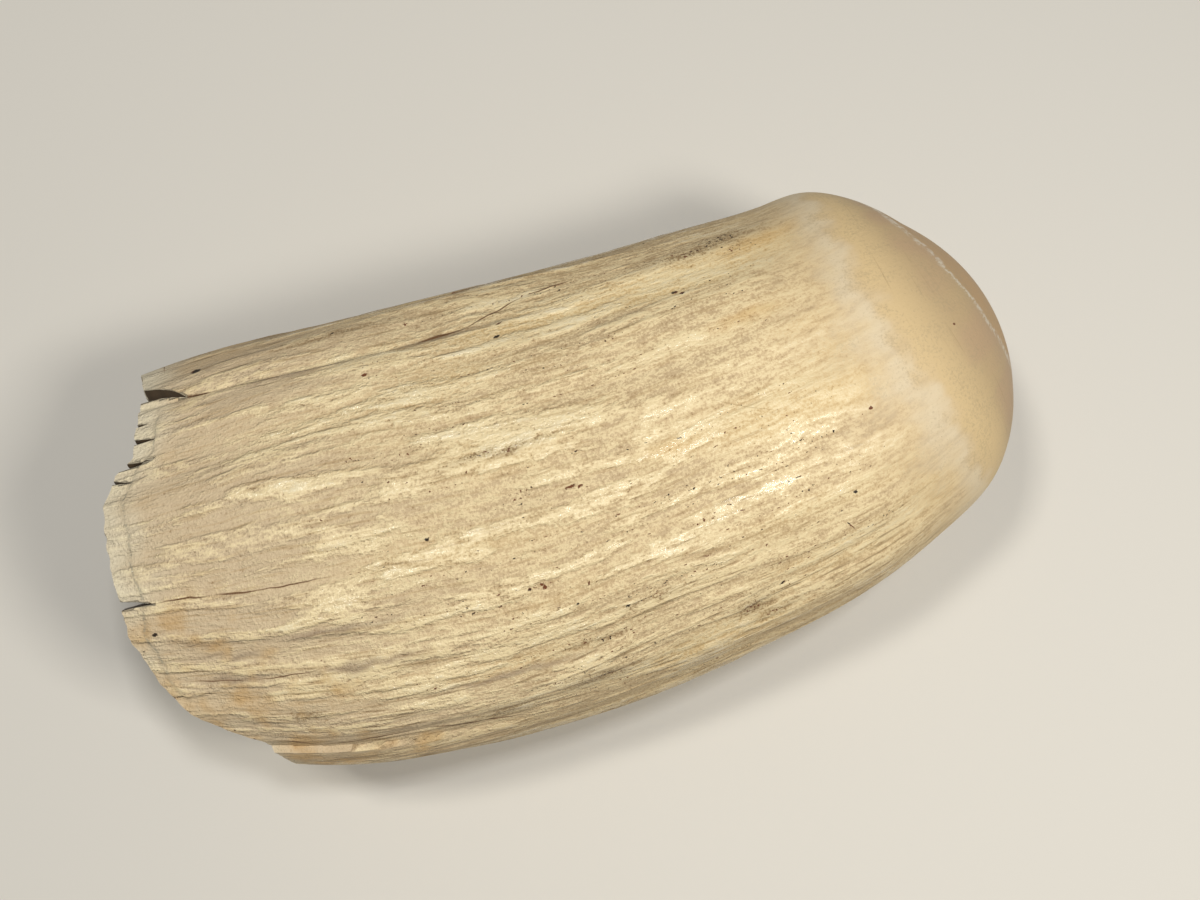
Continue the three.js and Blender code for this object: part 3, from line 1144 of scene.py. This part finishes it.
    def worn_tip(self, chart: Chart) -> Shares:
        """Pale band, warm band and dome of the worn tip, and the apex inside its border.

        Args:
            chart: The tooth's chart.

        Returns:
            Shares of the bands, the dome's tones, the apex, its border and the scuffs.
        """
        add, noise = chart.add, chart.noise
        rising = add("MapRange", (chart.drift, -3.0, 1.0, 0.0, 0.46), **SOFT)
        falling = add("MapRange", (chart.drift, 1.0, 4.0, 1.0, 0.0), **SOFT)
        patchy = add("MapRange", (noise[Grain.STREAK], 0.3, 0.6, 0.65, 1.0), **SOFT)
        band = add("Math", (rising, falling), **TIMES)
        warm_band = add("MapRange", (chart.drift, 1.5, 4.5, 0.0, 1.0), **SOFT)
        dome = add("MapRange", (chart.past, -0.5, 8.0, 0.0, 1.0), **SOFT)
        pink = add("Math", (noise[Grain.BROAD], dome), **TIMES)
        cloud = add("Math", (chart.blotch, 0.5, chart.grit), **PLUS_TIMES)
        edge = add("Math", (chart.blotch, 4.0, chart.apex), **PLUS_TIMES)
        border = add("Math", (edge, 1.7), operation="SUBTRACT")
        border = add("Math", (border,), operation="ABSOLUTE")
        border = add("MapRange", (border, 0.3, 1.9, 0.65, 0.0), **SOFT)
        scuffs = add("Math", (chart.around, 0.05, chart.past), **PLUS_TIMES)
        scuffs = add("CombineXYZ", (scuffs, chart.across, chart.up))
        drawn = (1 / self.scuff_width, 1 / self.scuff_length, 1 / self.scuff_length)
        scuffs = add("VectorMath", (scuffs, drawn), **TIMES)
        scuffs = add("TexNoise", {"Vector": scuffs, "Scale": 1.0, "Detail": 2.0})
        scuffs = add("MapRange", (scuffs, 0.6, 0.8, 0.0, 0.3), **SOFT)
        return {
            "band": add("Math", (band, patchy), **TIMES),
            "warm_band": warm_band,
            "dome": dome,
            "pink": add("MapRange", (pink, 0.3, 0.65, 0.0, 0.7), **SOFT),
            "cloud": add("MapRange", (cloud, 0.74, 1.0, 0.0, 0.4), **SOFT),
            "apex": add("MapRange", (edge, 1.6, 3.8, 0.0, 1.0), **SOFT),
            "border": add("Math", (border, chart.broken), **TIMES),
            "scuffs": add("Math", (scuffs, warm_band), **TIMES),
        }

    def holes(self, chart: Chart) -> Shares:
        """Pits in rows, single pits, cracks and hair scratches.

        Args:
            chart: The tooth's chart.

        Returns:
            Shares of the pits, the red ones, the cracks and the scratches.
        """
        add, noise = chart.add, chart.noise
        row = add("Math", (noise[Grain.ROW], 0.5), operation="SUBTRACT")
        row = add("Math", (row,), operation="ABSOLUTE")
        row = add("MapRange", (row, 0.006, 0.026, 0.19, 0.0), **SOFT)
        specks = add("MapRange", (chart.stain, 0.4, 1.0, 0.0, 0.27), **SOFT)
        row = add("Math", (specks, row), operation="MAXIMUM")
        row = add("Math", (row, chart.body), **TIMES)
        rooted = add("MapRange", (chart.inward, 8.0, 42.0, 0.0, 1.0), **SOFT)
        row = add("Math", (row, rooted), **TIMES)
        rim = add("MapRange", (chart.inward, 0.5, 3.5, 0.15, 0.0), **SOFT)
        row = add("Math", (rim, chart.low_side, row), **PLUS_TIMES)
        pits = add("Math", (noise[Grain.HOLE], row), operation="ADD")
        pits = add("MapRange", (pits, 0.825, 0.88, 0.0, 1.0), **SOFT)
        singles = self.marks(chart, chart.ragged, self.pits, 0.6)
        pits = add("Math", (pits, singles), operation="MAXIMUM")
        red = add("MapRange", (chart.blotch, 0.46, 0.54, 0.0, 0.75), **SOFT)
        cracks = [mark for trace in self.cracks for mark in trace.marks]
        scratches = self.marks(chart, chart.flat, self.scratches, 0.2)
        return {
            "pits": pits,
            "red": add("Math", (pits, red), **TIMES),
            "cracks": self.marks(chart, chart.crooked, cracks, 0.3),
            "scratches": add("Math", (scratches, 0.6), **TIMES),
        }

    def gloss(self, chart: Chart, shares: Shares) -> Socket:
        """Roughness: flakes and tip take a polish, and pits don't.

        Args:
            chart: The tooth's chart.
            shares: Shares by name.

        Returns:
            The roughness.
        """
        add = chart.add
        polish = self.flake_roughness - self.ground_roughness
        gloss = add("Math", (shares["ridge"], polish, self.ground_roughness), **PLUS_TIMES)
        gloss = add("Mix", {0: chart.tip, 2: gloss, 3: self.tip_roughness})
        return add("Math", (shares["pits"], 0.3, gloss), **PLUS_TIMES)

    def crust(self, chart: Chart) -> Socket:
        """Height of the flakes' crust, which stops at the tip.

        Args:
            chart: The tooth's chart.

        Returns:
            The height, in mm.
        """
        add = chart.add
        crust = add("Math", (chart.grit, 0.45), **TIMES)
        crust = add("Math", (chart.noise[Grain.CRUMB], 0.7, crust), **PLUS_TIMES)
        crust = add("Math", (chart.crest, 0.3, crust), **PLUS_TIMES)
        raised = add("MapRange", (crust, 0.58, 0.9, 0.0, 0.1), **SOFT)
        crust = add("Math", (crust, 0.4, raised), **PLUS_TIMES)
        fading = add("MapRange", (chart.past, -38.0, -2.0, 1.0, 0.12), **SOFT)
        return add("Math", (crust, fading), **TIMES)

    def dress(self) -> bpy.types.Material:
        """Builds the material.

        Returns:
            The finished material.
        """
        graph = Graph(self.name)
        chart = Chart(graph)
        add = graph.add
        shares = {}
        for surface in (self.cement, self.dirt_and_shade, self.broken_edge, self.worn_tip, self.holes):
            shares.update(surface(chart))
        zones = {Zone.BODY: chart.body, Zone.TIP: chart.tip}
        colour = linear(self.ground)
        for coat in self.coats:
            share = shares[coat.share]
            if coat.zone in zones:
                share = add("Math", (share, zones[coat.zone]), **TIMES)
            colour = add("Mix", {0: share, 6: colour, 7: linear(coat.colour)}, 2, data_type="RGBA")
        gloss = self.gloss(chart, shares)
        bump = add("Bump", {"Strength": 1.0, "Distance": MM, "Height": self.crust(chart)})
        inputs = {"Base Color": colour, "Roughness": gloss, "IOR": IVORY_IOR, "Normal": bump}
        shader = add("BsdfPrincipled", inputs)
        add("OutputMaterial", {"Surface": shader})
        return graph.material


@dataclass(frozen=True)
class DentineFinish:
    """Dentine inside the tooth: duller and browner than the outside, with faint growth rings, dirty
    patches, and painted shade that darkens it deeper into the cavity.
    """

    name: str = "pulp cavity dentine"
    pale: str = "#8F7750"
    brown: str = "#6E5737"
    # Painted shade: the colour that the cavity darkens to, deep inside
    deep_shade: str = "#46351F"
    roughness: float = 0.62
    ring_width: float = 1.6  # mm between growth rings
    ring_length: float = 14.0  # mm
    dirt_size: float = 4.0  # mm

    def dress(self) -> bpy.types.Material:
        """Builds the material.

        Returns:
            The finished material.
        """
        graph = Graph(self.name)
        add = graph.add
        zones = add("Attribute", output="Vector", attribute_name=Layer.ZONES.value)
        inward = add("SeparateXYZ", (zones,))
        here = add("TexCoord", output="Object")
        spread = [1 / (size * MM) for size in (self.ring_width, self.ring_length, self.ring_length)]
        rings = add("VectorMath", (here, spread), **TIMES)
        rings = add("TexNoise", {"Vector": rings, "Scale": 1.0, "Detail": 4.0}, "Fac")
        dirt_and_shade = add("TexNoise", {"Vector": here, "Scale": 1 / (self.dirt_size * MM), "Detail": 5.0}, "Fac")
        share = add("MapRange", {"Value": rings, "From Min": 0.4, "From Max": 0.65})
        inputs = {"Factor": share, 6: linear(self.pale), 7: linear(self.brown)}
        colour = add("Mix", inputs, 2, data_type="RGBA")
        # Painted shade: darker deeper into the cavity, and sooner in the noise's dirty patches
        depth = add("Math", (dirt_and_shade, 30.0, inward), **PLUS_TIMES)
        depth = add("MapRange", {"Value": depth, "From Min": 18.0, "From Max": 62.0})
        colour = add("Mix", {"Factor": depth, 6: colour, 7: linear(self.deep_shade)}, 2, data_type="RGBA")
        height = add("Math", (rings, 0.25, dirt_and_shade), **PLUS_TIMES)
        bump = add("Bump", {"Strength": 0.6, "Distance": 0.4 * MM, "Height": height})
        inputs = {"Base Color": colour, "Roughness": self.roughness, "IOR": IVORY_IOR, "Normal": bump}
        shader = add("BsdfPrincipled", inputs)
        add("OutputMaterial", {"Surface": shader})
        return graph.material


@dataclass(frozen=True)
class Lamp:
    """A soft square lamp that looks at the tooth."""

    name: str
    azimuth: float  # degrees from +X towards +Y
    elevation: float
    distance: float  # m
    size: float  # m
    power: float  # W
    colour: str = "#FFFFFF"

    def build(self, target: Vector) -> None:
        """Hangs the lamp so that it shines at the target.

        Args:
            target: What the lamp looks at, in metres.
        """
        data = bpy.data.lights.new(self.name, "AREA")
        data.shape, data.size, data.energy = "SQUARE", self.size, self.power
        data.color = linear(self.colour)[:3]
        lamp = bpy.data.objects.new(self.name, data)
        flat, rise = on_circle(self.elevation)
        across, along = on_circle(self.azimuth, flat)
        away = Vector((across, along, rise))
        lamp.location = target + away * self.distance
        lamp.rotation_euler = away.to_track_quat("Z", "Y").to_euler()
        bpy.context.scene.collection.objects.link(lamp)


@dataclass(frozen=True)
class Studio:
    """Pale floor, soft lamps and a camera at the photograph's viewing angle."""

    floor_size: float = 8.0  # m
    floor_colour: str = "#D9D6CF"
    sky: str = "#E4E8EE"
    sky_strength: float = 0.1
    lamps: tuple[Lamp, ...] = (
        Lamp("key_lamp", -50, 55, 0.45, 0.1, 1.0, "#FFFAF0"),
        Lamp("left_lamp", 150, 70, 0.7, 0.1, 1.65, "#FFFAF0"),
        Lamp("top_lamp", 4, 80, 0.9, 0.1, 2.2),
    )
    target: tuple[float, float, float] = (2.3, 3.3, 26.0)  # mm
    azimuth: float = -22.74  # degrees
    elevation: float = 75.35  # degrees
    roll: float = 5.8  # degrees
    distance: float = 215.9  # mm
    lens: float = 40.0  # mm
    sensor: float = 36.0  # mm across

    def floor(self) -> None:
        """Lays the floor."""
        form = bmesh.new()
        bmesh.ops.create_grid(form, x_segments=2, y_segments=2, size=self.floor_size / 2)
        mesh = bpy.data.meshes.new("floor")
        form.to_mesh(mesh)
        form.free()
        graph = Graph("matte floor")
        inputs = {"Base Color": linear(self.floor_colour), "Roughness": 0.9}
        graph.add("OutputMaterial", {"Surface": graph.add("BsdfPrincipled", inputs)})
        mesh.materials.append(graph.material)
        floor = bpy.data.objects.new("floor", mesh)
        bpy.context.scene.collection.objects.link(floor)

    def light(self) -> None:
        """Hangs the lamps and sets the sky and the picture's tone."""
        for lamp in self.lamps:
            lamp.build(Vector(self.target) * MM)
        scene = bpy.context.scene
        scene.world = bpy.data.worlds.new("sky")
        scene.world.use_nodes = True
        sky = scene.world.node_tree.nodes["Background"]
        sky.inputs["Color"].default_value = linear(self.sky)
        sky.inputs["Strength"].default_value = self.sky_strength
        scene.view_settings.view_transform = "Standard"
        scene.view_settings.look = "None"

    def camera(self) -> None:
        """Sets the camera where the photograph was taken from."""
        data = bpy.data.cameras.new("camera")
        data.lens, data.sensor_width = self.lens, self.sensor
        data.clip_start, data.clip_end = 0.01, 20.0
        camera = bpy.data.objects.new("camera", data)
        turned, tilted = math.radians(self.azimuth), math.radians(self.elevation)
        away = Vector((math.sin(turned), -math.cos(turned), math.tan(tilted))).normalized()
        camera.location = (Vector(self.target) + away * self.distance) * MM
        camera.rotation_mode = "QUATERNION"
        rolled = Quaternion((0.0, 0.0, 1.0), math.radians(self.roll))
        camera.rotation_quaternion = away.to_track_quat("Z", "Y") @ rolled
        bpy.context.scene.collection.objects.link(camera)
        bpy.context.scene.camera = camera

    def build(self) -> None:
        """Sets up the whole studio."""
        self.camera()
        self.floor()
        self.light()


def main() -> None:
    """Builds the studio and the tooth, and logs the tooth's triangle count."""
    logging.basicConfig(level=logging.INFO, format="%(name)s: %(message)s")
    Studio().build()
    piece = Tooth().build()
    # The walls of the splits are the same dentine, painted dark brown as the shade inside the splits
    shaded = DentineFinish("dentine of the splits in painted shade", pale="#4A3A26", brown="#3A2D1C", deep_shade="#2A2014")
    for finish in (IvoryFinish(), DentineFinish(), shaded):
        piece.data.materials.append(finish.dress())
    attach(piece, BODY)
    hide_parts(NODE)
    piece.data.calc_loop_triangles()
    LOG.info("%s: %d triangles", piece.name, len(piece.data.loop_triangles))


if __name__ == "__main__":
    main()
